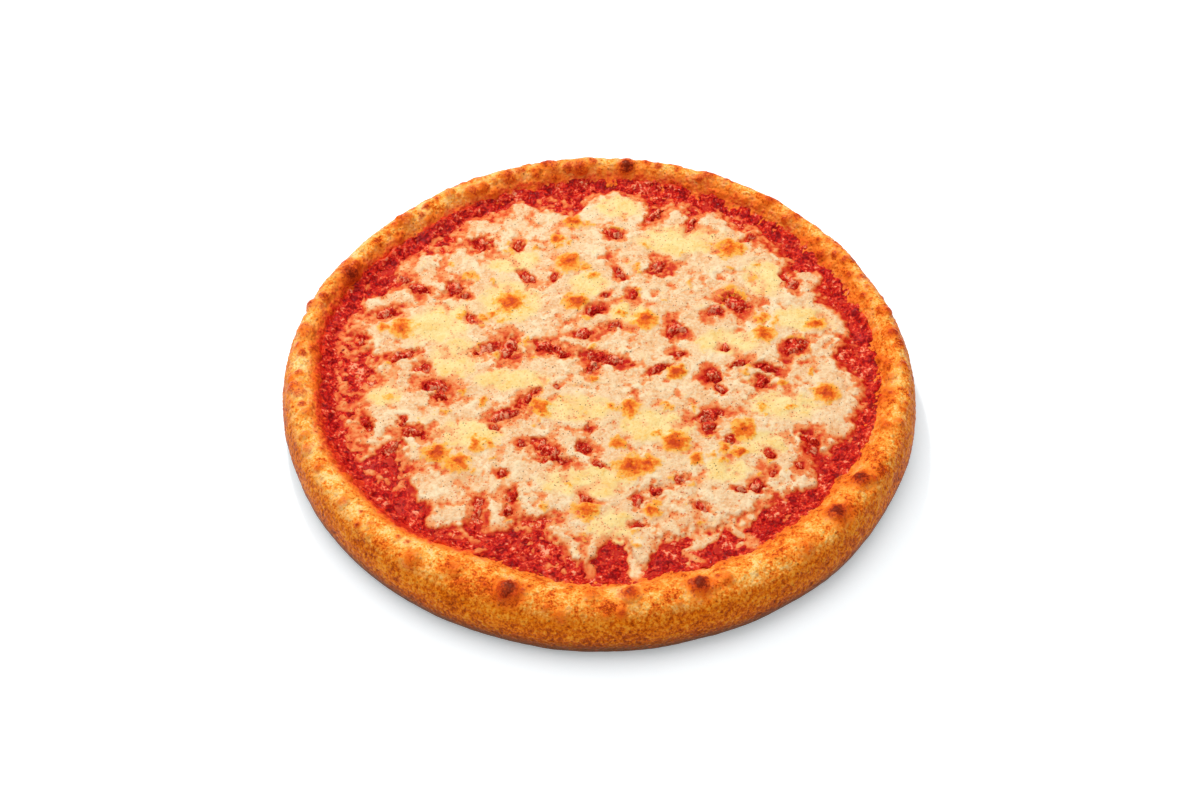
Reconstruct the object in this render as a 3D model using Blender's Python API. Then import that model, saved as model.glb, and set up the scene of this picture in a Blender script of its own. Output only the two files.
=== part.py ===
"""A whole margherita pizza in three closed solids: crust, sauce and cheese.

Lengths are in metres and angles in degrees, counted from +X towards +Y. The origin is on the table under the
middle of the pizza, +Z is up, and the side that faces the viewer in the photo is -Y.
"""
import math

import bmesh
import bpy
from mathutils import Vector, noise
from mathutils.geometry import delaunay_2d_cdt

# Driving dimensions
RADIUS = 0.150          # outer wall of the rim, so the pizza is 300 mm across
CREST_HEIGHT = 0.0275   # top of the rim above the table
FLOOR_HEIGHT = 0.0150   # dough under the sauce
LIP_HEIGHT = 0.0205     # where the rim's inner slope meets the sauce
SAUCE_RADIUS = 0.1295   # the spread sauce, a circle a little off the middle
SAUCE_SHIFT = Vector((0.0005, 0.0045))
SAUCE_HEIGHT = 0.0180   # the sauce's top, where cheese covers it
CHEESE_THICKNESS = 0.0023
GAP = 0.0003            # kept between one solid and the next

# How finely the solids are divided
SECTORS = 192           # round the crust and the sauce
CHEESE_SECTORS = 150    # round the cheese's edge
LATTICE = 0.0088        # between the points inside the sauce and the cheese
CLEARANCE = 0.0028      # from such a point to an edge of the cheese
WINDOW_SIDES = 9

# The rim's section from its foot to its crest: the share of the way in to the crest, and of its height
RIM_OUTSIDE = [(0.74, 0.0), (0.42, 0.03), (0.17, 0.14), (0.04, 0.29), (0.0, 0.43), (0.06, 0.61), (0.26, 0.79),
               (0.58, 0.93), (1.0, 1.0)]
# From the crest to the lip: the share of the way in, and of the drop that is still to come
RIM_INSIDE = [(0.22, 0.96), (0.45, 0.80), (0.68, 0.48), (0.86, 0.20), (1.0, 0.0)]
CREST_SHARE = 0.43      # the crest's place across the rim's width
RIM_WAVE = 0.0007       # the hand-shaped rim's rise and fall, and its wander in and out
BLISTER_RISE = 0.20     # of a blister's width
BLISTER_LEAN = 0.012    # outward from the crest, a blister leans out more

# Gentle bulges of the hand-stretched outlines: angle, amount and half-width
RIM_BULGES = [(25, -0.0015, 14), (88, 0.0006, 12), (145, -0.0014, 12), (185, 0.0006, 12)]
SAUCE_BULGES = [(0, 0.0020, 18), (60, 0.0025, 20), (130, -0.0020, 14), (165, 0.0050, 14), (200, 0.0035, 10),
                (226, 0.0020, 8), (246, -0.0055, 9), (272, -0.0010, 8), (290, -0.0026, 10), (304, -0.0006, 6),
                (320, -0.0020, 10)]
SAUCE_RAGGED = 0.0012   # the sauce edge's small unevenness

# The edge of the melted sheet, with its lobes and bays: angle, and distance from the middle in millimetres
CHEESE_EDGE = [
    (0, 124), (3, 121), (7, 116), (10, 122), (15, 124), (20, 125), (24, 122), (29, 123), (31, 130), (34, 130),
    (37, 119), (40, 123), (45, 126), (48, 125), (52, 129), (56, 122), (58, 122), (61, 131), (63, 128), (65, 123),
    (68, 120), (71, 123), (74, 124), (78, 121), (83, 127), (86, 130), (90, 128), (94, 121), (95, 115), (98, 111),
    (102, 117), (106, 119), (109, 127), (112, 128), (116, 120), (120, 125), (123, 125), (125, 121), (128, 121),
    (129, 116), (131, 113), (136, 118), (140, 124), (146, 125), (150, 116), (152, 119), (155, 123), (159, 126),
    (161, 122), (165, 125), (168, 125), (172, 114), (177, 105), (183, 107), (186, 115), (189, 116), (201, 121),
    (206, 118), (207, 105), (213, 104), (218, 108), (222, 113), (225, 112), (229, 118), (232, 117), (236, 110),
    (238, 104), (243, 109), (246, 104), (248, 95), (255, 92), (258, 100), (264, 110), (267, 114), (270, 105),
    (274, 99), (277, 100), (279, 117), (281, 114), (284, 106), (287, 103), (292, 104), (294, 101), (296, 104),
    (304, 104), (307, 110), (311, 109), (320, 111), (323, 116), (326, 118), (330, 117), (334, 113), (337, 114),
    (340, 118), (342, 122), (356, 125), (358, 126), (360, 124)]

# Windows in the cheese, where sauce shows: middle, length, width and direction
WINDOWS = [
    (-0.053, 0.017, 0.013, 0.006, 25), (-0.041, 0.019, 0.013, 0.007, 95), (-0.023, 0.017, 0.017, 0.007, -20),
    (0.002, 0.011, 0.022, 0.006, -15), (-0.003, 0.043, 0.010, 0.007, 20), (-0.008, 0.027, 0.009, 0.006, 10),
    (-0.037, 0.066, 0.011, 0.006, -50), (-0.058, 0.086, 0.009, 0.007, 0), (-0.072, 0.057, 0.010, 0.007, 70),
    (-0.090, 0.056, 0.012, 0.006, -20), (-0.104, 0.040, 0.012, 0.006, 20), (-0.095, 0.012, 0.014, 0.005, 20),
    (-0.078, -0.008, 0.013, 0.007, -10), (0.028, 0.073, 0.009, 0.007, 70), (0.066, 0.048, 0.014, 0.008, -20),
    (0.093, 0.064, 0.012, 0.006, -75), (0.038, 0.031, 0.010, 0.007, 0), (0.094, 0.020, 0.012, 0.008, 50),
    (0.053, 0.000, 0.009, 0.008, -50), (0.079, 0.004, 0.014, 0.006, -30), (-0.086, -0.037, 0.011, 0.007, -10),
    (-0.047, -0.027, 0.016, 0.005, 15), (-0.032, -0.013, 0.013, 0.005, 50), (-0.024, -0.048, 0.017, 0.008, -35),
    (-0.006, -0.046, 0.009, 0.006, -20), (-0.039, -0.074, 0.009, 0.006, 90), (0.050, -0.027, 0.014, 0.009, 20),
    (0.098, -0.042, 0.014, 0.006, -75), (0.037, -0.063, 0.009, 0.006, 60), (0.025, -0.071, 0.009, 0.006, 0),
    (0.078, -0.048, 0.008, 0.006, 0), (0.072, -0.067, 0.008, 0.006, 20)]
WINDOW_SAUCE_RISE = 0.0012

# Browned bubbles of cheese: middle and width
BUBBLES = [
    (-0.044, 0.047, 0.010), (-0.016, 0.075, 0.009), (-0.096, 0.028, 0.009), (0.065, 0.087, 0.010),
    (0.022, 0.036, 0.009), (0.078, 0.027, 0.008), (0.107, -0.011, 0.009), (-0.065, -0.056, 0.010),
    (-0.029, -0.021, 0.008), (-0.006, -0.083, 0.009), (0.035, -0.042, 0.010), (0.067, -0.034, 0.009),
    (0.015, -0.057, 0.010), (0.014, -0.021, 0.008)]
BUBBLE_RISE = 0.12      # of a bubble's width

# Baked blisters on the rim: angle, distance from the middle and width
BLISTERS = [
    (154, 0.138, 0.010), (135.7, 0.1396, 0.007), (119, 0.1374, 0.007), (110.3, 0.140, 0.007), (101.4, 0.144, 0.008),
    (94.9, 0.1396, 0.008), (84.9, 0.141, 0.008), (67.8, 0.145, 0.008), (53.2, 0.1425, 0.006), (164.6, 0.1456, 0.007),
    (171.8, 0.143, 0.008), (186.3, 0.144, 0.007), (201.7, 0.1439, 0.006), (216.7, 0.1418, 0.006),
    (234.8, 0.142, 0.008), (242.7, 0.137, 0.007), (253.7, 0.1386, 0.010), (268.9, 0.135, 0.006),
    (275.8, 0.135, 0.008), (288.9, 0.136, 0.009), (310, 0.1416, 0.007), (320.4, 0.138, 0.009),
    (329.7, 0.1366, 0.008), (4.7, 0.1336, 0.006)]


def srgb(red, green, blue):
    """A display colour, 0 to 255, as the linear colour of a shader."""
    shares = [value / 255 for value in (red, green, blue)]
    return [s / 12.92 if s <= 0.04045 else ((s + 0.055) / 1.055) ** 2.4 for s in shares] + [1.0]


def unit(angle):
    """The direction of an angle, in plan."""
    return Vector((math.cos(math.radians(angle)), math.sin(math.radians(angle))))


def swell(angle, bulges):
    """What the bulges add at an angle."""
    total = 0.0
    for centre, amount, width in bulges:
        apart = (angle - centre + 180) % 360 - 180
        total += amount * math.exp(-0.5 * (apart / width) ** 2)
    return total


def wave(place, length, seed):
    """Smooth noise from about -1 to 1, its waves about this long."""
    return noise.noise(Vector((place.x / length, place.y / length, seed)))


def dome(place, centre, width):
    """1 at the middle of a round swelling, falling to 0 at its edge."""
    share = (place - centre).length / (0.5 * width)
    return (1 - share * share) ** 2 if share < 1 else 0.0


def outer_radius(angle):
    return RADIUS + swell(angle, RIM_BULGES)


def sauce_radius(angle):
    around = unit(angle)
    ragged = SAUCE_RAGGED * wave(around * SAUCE_RADIUS, 0.015, 3.0)
    return SAUCE_RADIUS + around.dot(SAUCE_SHIFT) + swell(angle, SAUCE_BULGES) + ragged


def cheese_radius(angle):
    """The measured edge of the cheese, straight from one of its points to the next."""
    for (before, near), (after, far) in zip(CHEESE_EDGE, CHEESE_EDGE[1:]):
        if before <= angle % 360 <= after:
            return 0.001 * (near + (far - near) * (angle % 360 - before) / (after - before))


def loop(sides, radius_at):
    """The corners of a closed outline whose radius depends on the angle."""
    angles = [360 * k / sides for k in range(sides)]
    return [unit(angle) * radius_at(angle) for angle in angles]


def window_outline(x, y, length, width, direction):
    """A ragged oval hole in the cheese."""
    along, across = unit(direction), unit(direction + 90)
    corners = []
    for k in range(WINDOW_SIDES):
        turn = unit(360 * k / WINDOW_SIDES)
        ragged = 1 + 0.25 * wave(turn + Vector((x, y)) * 1000, 1.0, 5.0)
        corners.append(Vector((x, y)) + ragged * 0.5 * (length * turn.x * along + width * turn.y * across))
    return corners


def window_spine(x, y, length, width, direction):
    """Points along the middle of a window, which the sauce bulges up to."""
    reach = 0.5 * (length - width)
    places = (-1, 0, 1) if length > 1.6 * width else (0,)
    return [Vector((x, y)) + unit(direction) * reach * place for place in places]


def inside(place, outline):
    """Whether a place is inside a closed outline."""
    crossings = 0
    for a, b in zip(outline, outline[1:] + outline[:1]):
        if (a.y > place.y) != (b.y > place.y):
            crossings += place.x < a.x + (place.y - a.y) / (b.y - a.y) * (b.x - a.x)
    return crossings % 2 == 1


def distance_to_edges(place, outline):
    """How far a place is from the nearest edge of an outline."""
    nearest = math.inf
    for a, b in zip(outline, outline[1:] + outline[:1]):
        share = min(max((place - a).dot(b - a) / (b - a).length_squared, 0.0), 1.0)
        nearest = min(nearest, (place - a.lerp(b, share)).length)
    return nearest


def sauce_height(place):
    """The sauce's top: pulpy, banked up against the rim, and bulging in the windows."""
    angle = math.degrees(math.atan2(place.y, place.x))
    bank = max(0.0, 1 - (sauce_radius(angle) - place.length) / 0.006)
    bulge = 0.0
    for window in WINDOWS:
        for middle in window_spine(*window):
            bulge = max(bulge, dome(place, middle, 0.9 * window[3]))
    return (SAUCE_HEIGHT + 0.0004 * wave(place, 0.012, 1.0) + 0.0015 * bank * bank
            + WINDOW_SAUCE_RISE * bulge)


def cheese_top(place, edge_distance):
    """The cheese's top: uneven, thin at its edges, and risen where bubbles browned."""
    thin = 0.45 * math.exp(-edge_distance / 0.004)
    bubble = 0.0
    for x, y, width in BUBBLES:
        bubble = max(bubble, BUBBLE_RISE * width * dome(place, Vector((x, y)), 1.6 * width))
    uneven = 1 + 0.18 * wave(place, 0.022, 2.0)
    return sauce_height(place) + GAP + CHEESE_THICKNESS * uneven * (1 - thin) + bubble


def rim_section(angle):
    """The rim at one angle, from its foot over its crest to the lip: distance from the middle, and height."""
    around = unit(angle)
    outside = outer_radius(angle) + RIM_WAVE * wave(around * RADIUS, 0.030, 4.0)
    lip = sauce_radius(angle) + GAP
    crest_inward = CREST_SHARE * (outside - lip)
    crest_height = CREST_HEIGHT + RIM_WAVE * wave(around * RADIUS, 0.024, 6.0)
    section = [(outside - crest_inward * inward, crest_height * height) for inward, height in RIM_OUTSIDE]
    crest_radius = outside - crest_inward
    for inward, drop in RIM_INSIDE:
        radius = crest_radius + (lip - crest_radius) * inward
        section.append((radius, LIP_HEIGHT + (crest_height - LIP_HEIGHT) * drop))
    return section, crest_radius


def blistered(point, crest_radius):
    """A point of the rim, lifted and pushed out by the blisters over it."""
    place = Vector((point.x, point.y))
    lift = 0.0
    for angle, radius, width in BLISTERS:
        lift = max(lift, BLISTER_RISE * width * dome(place, unit(angle) * radius, 1.3 * width))
    lean = (place.length - crest_radius) / BLISTER_LEAN
    outward = Vector((*(place.normalized() * max(lean, 0.0)), 1.0)).normalized()
    return point + outward * lift


def material(name, colour, roughness):
    finish = bpy.data.materials.new(name)
    finish.use_nodes = True
    shader = finish.node_tree.nodes["Principled BSDF"]
    shader.inputs["Base Color"].default_value = colour
    shader.inputs["Roughness"].default_value = roughness
    shader.inputs["Metallic"].default_value = 0.0
    return finish


def add_object(name, mesh, finish):
    """Turns a bmesh into a named, smooth-shaded object."""
    bmesh.ops.recalc_face_normals(mesh, faces=mesh.faces[:])
    data = bpy.data.meshes.new(name)
    mesh.to_mesh(data)
    mesh.free()
    data.shade_smooth()
    data.set_sharp_from_angle(angle=math.radians(50))
    data.materials.append(finish)
    part = bpy.data.objects.new(name, data)
    bpy.context.collection.objects.link(part)
    return part


def make_crust(finish):
    """The dough: a flat base, the raised and blistered rim, and the sunken floor that carries the sauce."""
    mesh = bmesh.new()
    rings = []
    for k in range(SECTORS):
        angle = 360 * k / SECTORS
        around = unit(angle)
        section, crest_radius = rim_section(angle)
        points = [Vector((*(around * radius), height)) for radius, height in section]
        foot, lip = points[0], points[-1]
        points = [foot] + [blistered(point, crest_radius) for point in points[1:-1]] + [lip]
        points.append(Vector((lip.x, lip.y, FLOOR_HEIGHT)))
        rings.append([mesh.verts.new(point) for point in points])
    for near, far in zip(rings, rings[1:] + rings[:1]):
        for low in range(len(near) - 1):
            mesh.faces.new([near[low], far[low], far[low + 1], near[low + 1]])
    mesh.faces.new([ring[0] for ring in rings])
    mesh.faces.new([ring[-1] for ring in rings])
    bmesh.ops.triangulate(mesh, faces=[face for face in mesh.faces if len(face.verts) == 4])
    return add_object("crust", mesh, finish)


def lattice_points(outlines, reach):
    """A triangular lattice of points, clear of every outline's edges."""
    points = []
    row_height = LATTICE * math.sqrt(3) / 2
    rows = math.ceil(reach / row_height)
    for row in range(-rows, rows + 1):
        shift = 0.5 * LATTICE * (row % 2)
        columns = math.ceil(reach / LATTICE)
        for column in range(-columns, columns + 1):
            place = Vector((column * LATTICE + shift, row * row_height))
            if inside(place, outlines[0]) and min(distance_to_edges(place, o) for o in outlines) > CLEARANCE:
                points.append(place)
    return points


def triangulate(outlines, points):
    """Triangles over the plan that keep the outlines' edges and all the points."""
    corners = []
    edges = []
    for outline in outlines:
        first = len(corners)
        corners += outline
        edges += [(first + k, first + (k + 1) % len(outline)) for k in range(len(outline))]
    made = delaunay_2d_cdt(corners + points, edges, [], 0, 1e-7)
    return made[0], made[2]


def middle_of(corners, triangle):
    return sum((corners[k] for k in triangle), Vector((0, 0))) / 3


def one_piece(triangles):
    """The largest set of triangles that hang together by their edges."""
    by_edge = {}
    for number, triangle in enumerate(triangles):
        for a, b in zip(triangle, triangle[1:] + triangle[:1]):
            by_edge.setdefault(frozenset((a, b)), []).append(number)
    unseen = set(range(len(triangles)))
    best = []
    while unseen:
        piece = [unseen.pop()]
        for number in piece:
            triangle = triangles[number]
            for a, b in zip(triangle, triangle[1:] + triangle[:1]):
                beside = [other for other in by_edge[frozenset((a, b))] if other in unseen]
                unseen.difference_update(beside)
                piece += beside
        best = max(best, piece, key=len)
    return [triangles[number] for number in best]


def raise_surface(corners, triangles, height_at):
    """A bmesh of the triangles, each corner at its height."""
    mesh = bmesh.new()
    used = sorted({k for triangle in triangles for k in triangle})
    verts = {k: mesh.verts.new((*corners[k], height_at(k))) for k in used}
    for triangle in triangles:
        mesh.faces.new([verts[k] for k in triangle])
    return mesh


def make_sauce(corners, triangles, finish):
    """The tomato sauce: a flat underside on the dough, and a pulpy top."""
    mesh = raise_surface(corners, triangles, lambda k: sauce_height(corners[k]))
    border = [edge for edge in mesh.edges if edge.is_boundary]
    walls = bmesh.ops.extrude_edge_only(mesh, edges=border)["geom"]
    for vert in [part for part in walls if isinstance(part, bmesh.types.BMVert)]:
        vert.co.z = FLOOR_HEIGHT + GAP
    bmesh.ops.edgeloop_fill(mesh, edges=[part for part in walls if isinstance(part, bmesh.types.BMEdge)])
    return add_object("sauce", mesh, finish)


def make_cheese(corners, triangles, edges_of_cheese, finish):
    """The melted cheese: one sheet of triangles that lies on the sauce, a gap above it all over."""
    mesh = raise_surface(corners, triangles, lambda k: sauce_height(corners[k]) + GAP)
    lifted = bmesh.ops.extrude_face_region(mesh, geom=mesh.faces[:])["geom"]
    for vert in [part for part in lifted if isinstance(part, bmesh.types.BMVert)]:
        place = Vector((vert.co.x, vert.co.y))
        edge_distance = min(distance_to_edges(place, outline) for outline in edges_of_cheese)
        vert.co.z = cheese_top(place, edge_distance)
    return add_object("cheese", mesh, finish)


def build():
    for old in list(bpy.data.objects):
        bpy.data.objects.remove(old)
    make_crust(material("baked_dough", srgb(240, 156, 66), 0.6))

    sauce_edge = loop(SECTORS, sauce_radius)
    cheese_edge = loop(CHEESE_SECTORS, cheese_radius)
    windows = [window_outline(*window) for window in WINDOWS]
    spines = [place for window in WINDOWS for place in window_spine(*window)]
    outlines = [sauce_edge, cheese_edge] + windows
    corners, triangles = triangulate(outlines, lattice_points(outlines, RADIUS) + spines)
    on_sauce = [t for t in triangles if inside(middle_of(corners, t), sauce_edge)]
    make_sauce(corners, on_sauce, material("tomato_sauce", srgb(186, 32, 28), 0.35))

    on_cheese = [t for t in on_sauce if inside(middle_of(corners, t), cheese_edge)
                 and not any(inside(middle_of(corners, t), window) for window in windows)]
    make_cheese(corners, one_piece(on_cheese), outlines[1:], material("melted_cheese", srgb(250, 217, 162), 0.4))


build()
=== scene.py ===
# %% [markdown]
# A margherita pizza, finished in Blender
#
# The solids of the pizza, its crust, sauce and cheese, come in as a fixed frame. This script replaces each of
# them with a finer mesh of the same form and gives it a baked, wet or melted surface. Lengths are in metres,
# angles in degrees from +X towards +Y, and the viewer stands on the -Y side.

import math

import bpy
import numpy as np
from mathutils import Matrix, Vector, noise


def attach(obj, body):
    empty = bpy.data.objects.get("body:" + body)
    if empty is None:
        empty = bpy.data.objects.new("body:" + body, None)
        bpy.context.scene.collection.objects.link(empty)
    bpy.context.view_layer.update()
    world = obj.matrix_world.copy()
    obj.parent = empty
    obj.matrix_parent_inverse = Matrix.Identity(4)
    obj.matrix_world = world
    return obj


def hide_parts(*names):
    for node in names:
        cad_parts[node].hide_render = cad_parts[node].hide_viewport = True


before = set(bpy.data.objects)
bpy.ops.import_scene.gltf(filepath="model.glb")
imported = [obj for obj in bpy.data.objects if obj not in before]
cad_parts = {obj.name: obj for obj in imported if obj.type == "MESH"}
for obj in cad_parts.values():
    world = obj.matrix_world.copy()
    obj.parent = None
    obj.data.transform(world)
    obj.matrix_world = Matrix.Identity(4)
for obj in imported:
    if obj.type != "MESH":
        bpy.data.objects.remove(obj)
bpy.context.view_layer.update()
print("nodes in the frame:", sorted(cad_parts))

# %% [markdown]
# The camera comes first, because every later look is judged through it. It looks down at 48 degrees from a
# metre away, turned half a degree, which gives the oval that a 300 mm pizza makes in the photograph.

# %% Camera
AIM = Vector((0.0, -0.0108, 0.014))
ELEVATION = math.radians(48.3)
DISTANCE = 1.0
ROLL = math.radians(0.55)
LENS = 63.33

camera_data = bpy.data.cameras.new("camera")
camera_data.lens = LENS
camera_data.sensor_width = 36.0
camera = bpy.data.objects.new("camera", camera_data)
bpy.context.collection.objects.link(camera)
forward = Vector((0, math.cos(ELEVATION), -math.sin(ELEVATION)))
right = Vector((1, 0, 0))
up = right.cross(forward)
level_right = right * math.cos(ROLL) + up * math.sin(ROLL)
level_up = up * math.cos(ROLL) - right * math.sin(ROLL)
turn = Matrix((level_right, level_up, -forward)).transposed().to_4x4()
camera.matrix_world = Matrix.Translation(AIM - forward * DISTANCE) @ turn
bpy.context.scene.camera = camera
print("camera at", [round(value, 3) for value in camera.location])

# %% [markdown]
# The outlines are the ones that the solids were built with: a nearly round rim, a sauce edge that wanders
# inside it, and a cheese edge with lobes and bays. A bulge is an angle, an amount and a half-width, and the
# cheese edge is a list of measured points, each an angle and a distance in millimetres. The functions work on
# one angle, and a table of each, read with `np.interp`, serves the hundred thousand places of a fine mesh.

# %% Outlines
RADIUS = 0.150
CREST_HEIGHT = 0.0275
FLOOR_HEIGHT = 0.0150
LIP_HEIGHT = 0.0205
SAUCE_RADIUS = 0.1295
SAUCE_SHIFT = Vector((0.0005, 0.0045))
SAUCE_HEIGHT = 0.0180
RIM_WAVE = 0.0007
SAUCE_RAGGED = 0.0012
RIM_BULGES = [(25, -0.0015, 14), (88, 0.0006, 12), (145, -0.0014, 12), (185, 0.0006, 12)]
SAUCE_BULGES = [(0, 0.0020, 18), (60, 0.0025, 20), (130, -0.0020, 14), (165, 0.0050, 14), (200, 0.0035, 10),
                (226, 0.0020, 8), (246, -0.0055, 9), (272, -0.0010, 8), (290, -0.0026, 10), (304, -0.0006, 6),
                (320, -0.0020, 10)]
CHEESE_EDGE = [
    (0, 124), (3, 121), (7, 116), (10, 122), (15, 124), (20, 125), (24, 122), (29, 123), (31, 130),
    (34, 130), (37, 119), (40, 123), (45, 126), (48, 125), (52, 129), (56, 122), (58, 122), (61, 131),
    (63, 128), (65, 123), (68, 120), (71, 123), (74, 124), (78, 121), (83, 127), (86, 130), (90, 128),
    (94, 121), (95, 115), (98, 111), (102, 117), (106, 119), (109, 127), (112, 128), (116, 120), (120, 125),
    (123, 125), (125, 121), (128, 121), (129, 116), (131, 113), (136, 118), (140, 124), (146, 125),
    (150, 116), (152, 119), (155, 123), (159, 126), (161, 122), (165, 125), (168, 125), (172, 114),
    (177, 105), (183, 107), (186, 115), (189, 116), (201, 121), (206, 118), (207, 105), (213, 104),
    (218, 108), (222, 113), (225, 112), (229, 118), (232, 117), (236, 110), (238, 104), (243, 109),
    (246, 104), (248, 95), (255, 92), (258, 100), (264, 110), (267, 114), (270, 105), (274, 99), (277, 100),
    (279, 117), (281, 114), (284, 106), (287, 103), (292, 104), (294, 101), (296, 104), (304, 104),
    (307, 110), (311, 109), (320, 111), (323, 116), (326, 118), (330, 117), (334, 113), (337, 114),
    (340, 118), (342, 122), (356, 125), (358, 126), (360, 124)]
RING = np.arange(0, 360, 0.5)


def unit(angle):
    """The direction of an angle, in plan."""
    return Vector((math.cos(math.radians(angle)), math.sin(math.radians(angle))))


def swell(angle, bulges):
    """What the bulges add at an angle."""
    total = 0.0
    for centre, amount, width in bulges:
        apart = (angle - centre + 180) % 360 - 180
        total += amount * math.exp(-0.5 * (apart / width) ** 2)
    return total


def wave(place, length, seed):
    """Smooth noise from about -1 to 1, its waves about this long."""
    return noise.noise(Vector((place.x / length, place.y / length, seed)))


def sauce_radius(angle):
    around = unit(angle)
    ragged = SAUCE_RAGGED * wave(around * SAUCE_RADIUS, 0.015, 3.0)
    return SAUCE_RADIUS + around.dot(SAUCE_SHIFT) + swell(angle, SAUCE_BULGES) + ragged


def outer_radius(angle):
    return RADIUS + swell(angle, RIM_BULGES) + RIM_WAVE * wave(unit(angle) * RADIUS, 0.030, 4.0)


def crest_height(angle):
    return CREST_HEIGHT + RIM_WAVE * wave(unit(angle) * RADIUS, 0.024, 6.0)


def table(function):
    """The function's value at every half degree."""
    return np.array([function(angle) for angle in RING])


def at(angles, values):
    """A table read at any angles."""
    return np.interp(angles, RING, values, period=360)


sauce_edge = table(sauce_radius)
cheese_edge = 0.001 * np.interp(RING, *zip(*CHEESE_EDGE))
outer_edge, crest_line = table(outer_radius), table(crest_height)
rim_width = (outer_edge - sauce_edge) * 1000
print("rim width, mm:", rim_width.min().round(1), "to", rim_width.max().round(1))

# %% [markdown]
# Food is uneven at every scale. Two helpers give that unevenness to whole arrays of places: `rolling` is
# smooth noise, and `pebbles` gives the distance to the nearest of many scattered points, which makes lumps
# and grains. Both count in cells, and `wrap` closes them round a ring. Every random draw has a seed.

# %% Noise
CELLS = 256


def rolling(u, v, seed, wrap=CELLS):
    """Smooth noise over cells of size 1, about -1 to 1, that repeats every wrap cells along u."""
    turns = np.random.default_rng(seed).uniform(0, 2 * np.pi, (CELLS, CELLS))
    column, row = np.floor(u).astype(int), np.floor(v).astype(int)
    du, dv = u - column, v - row
    ease_u, ease_v = (t * t * t * (t * (t * 6 - 15) + 10) for t in (du, dv))

    def corner(i, j):
        angle = turns[(column + i) % wrap % CELLS, (row + j) % CELLS]
        return np.cos(angle) * (du - i) + np.sin(angle) * (dv - j)

    low = corner(0, 0) * (1 - ease_u) + corner(1, 0) * ease_u
    high = corner(0, 1) * (1 - ease_u) + corner(1, 1) * ease_u
    return 1.5 * (low * (1 - ease_v) + high * ease_v)


def pebbles(u, v, seed, wrap=CELLS):
    """Distance to the nearest of one random point in each cell, and a random number for that point."""
    points = np.random.default_rng(seed).uniform(0, 1, (3, CELLS, CELLS))
    column, row = np.floor(u).astype(int), np.floor(v).astype(int)
    nearest = np.full(np.shape(u), 9.0)
    number = np.zeros(np.shape(u))
    for i in (-1, 0, 1):
        for j in (-1, 0, 1):
            cell = ((column + i) % wrap % CELLS, (row + j) % CELLS)
            apart = np.hypot(column + i + points[0][cell] - u, row + j + points[1][cell] - v)
            closer = apart < nearest
            nearest = np.where(closer, apart, nearest)
            number = np.where(closer, points[2][cell], number)
    return nearest, number


def smoothstep(low, high, value):
    t = np.clip((value - low) / (high - low), 0, 1)
    return t * t * (3 - 2 * t)


# %% [markdown]
# Shader maths reads better as Python than as a web of nodes. `Wire` wraps one socket of a material. Adding or
# multiplying wires adds Math nodes, `mix` blends colours, and `node` makes anything else: its settings are
# set first, then the values or wires of its sockets.

# %% A wrapper for shader sockets
class Wire:
    def __init__(self, tree, socket=None):
        self.tree = tree
        self.socket = socket

    def node(self, kind, settings=None, sockets=None, output=0):
        """Adds a node and returns a wire from one of its outputs."""
        made = self.tree.nodes.new(kind)
        for name, value in (settings or {}).items():
            if name == "stops":
                made.color_ramp.elements.remove(made.color_ramp.elements[0])
                for k, (place, colour) in enumerate(value):
                    stop = made.color_ramp.elements[0] if k == 0 else made.color_ramp.elements.new(place)
                    stop.position = place
                    stop.color = colour
            else:
                setattr(made, name, value)
        for name, value in (sockets or {}).items():
            if isinstance(value, Wire):
                self.tree.links.new(value.socket, made.inputs[name])
            else:
                made.inputs[name].default_value = value
        return Wire(self.tree, made.outputs[output])

    def math(self, operation, *values, clamp=False):
        settings = {"operation": operation, "use_clamp": clamp}
        return self.node("ShaderNodeMath", settings, dict(enumerate(values)))

    def __add__(self, other):
        return self.math("ADD", self, other)

    def __sub__(self, other):
        return self.math("SUBTRACT", self, other)

    def __rsub__(self, other):
        return self.math("SUBTRACT", other, self)

    def __mul__(self, other):
        return self.math("MULTIPLY", self, other)

    __radd__ = __add__
    __rmul__ = __mul__

    def clamp(self):
        return self.math("ADD", self, 0.0, clamp=True)

    def step(self, low, high):
        """0 below low, 1 above high and smooth between them, or the other way round if low is above high."""
        ends = (low, high, 0.0, 1.0) if low < high else (high, low, 1.0, 0.0)
        names = ("From Min", "From Max", "To Min", "To Max")
        return self.node("ShaderNodeMapRange", {"interpolation_type": "SMOOTHSTEP"},
                         {"Value": self, **dict(zip(names, ends))})

    def mix(self, factor, a, b):
        """Colour a where factor is 0, colour b where it is 1."""
        return self.node("ShaderNodeMix", {"data_type": "RGBA"}, {0: factor, 6: a, 7: b}, 2)

    def attribute(self, name):
        return self.node("ShaderNodeAttribute", {"attribute_name": name}, output=2)

    def place(self):
        return self.node("ShaderNodeTexCoord", output=3)

    def noise(self, size, detail=2.0, roughness=0.5, seed=0.0):
        """Noise from about 0 to 1 whose waves are about this size, in metres."""
        moved = self.node("ShaderNodeMapping", None, {0: self.place(), 1: (seed, seed, seed)})
        return self.node("ShaderNodeTexNoise", None,
                         {"Vector": moved, "Scale": 1 / size, "Detail": detail, "Roughness": roughness})

    def grains(self, size):
        """Distance, in sizes, to the nearest of many scattered grains."""
        return self.node("ShaderNodeTexVoronoi", None, {"Vector": self.place(), "Scale": 1 / size})


def srgb(red, green, blue):
    """A display colour, 0 to 255, as the linear colour of a shader."""
    shares = [value / 255 for value in (red, green, blue)]
    return [s / 12.92 if s <= 0.04045 else ((s + 0.055) / 1.055) ** 2.4 for s in shares] + [1.0]


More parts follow.
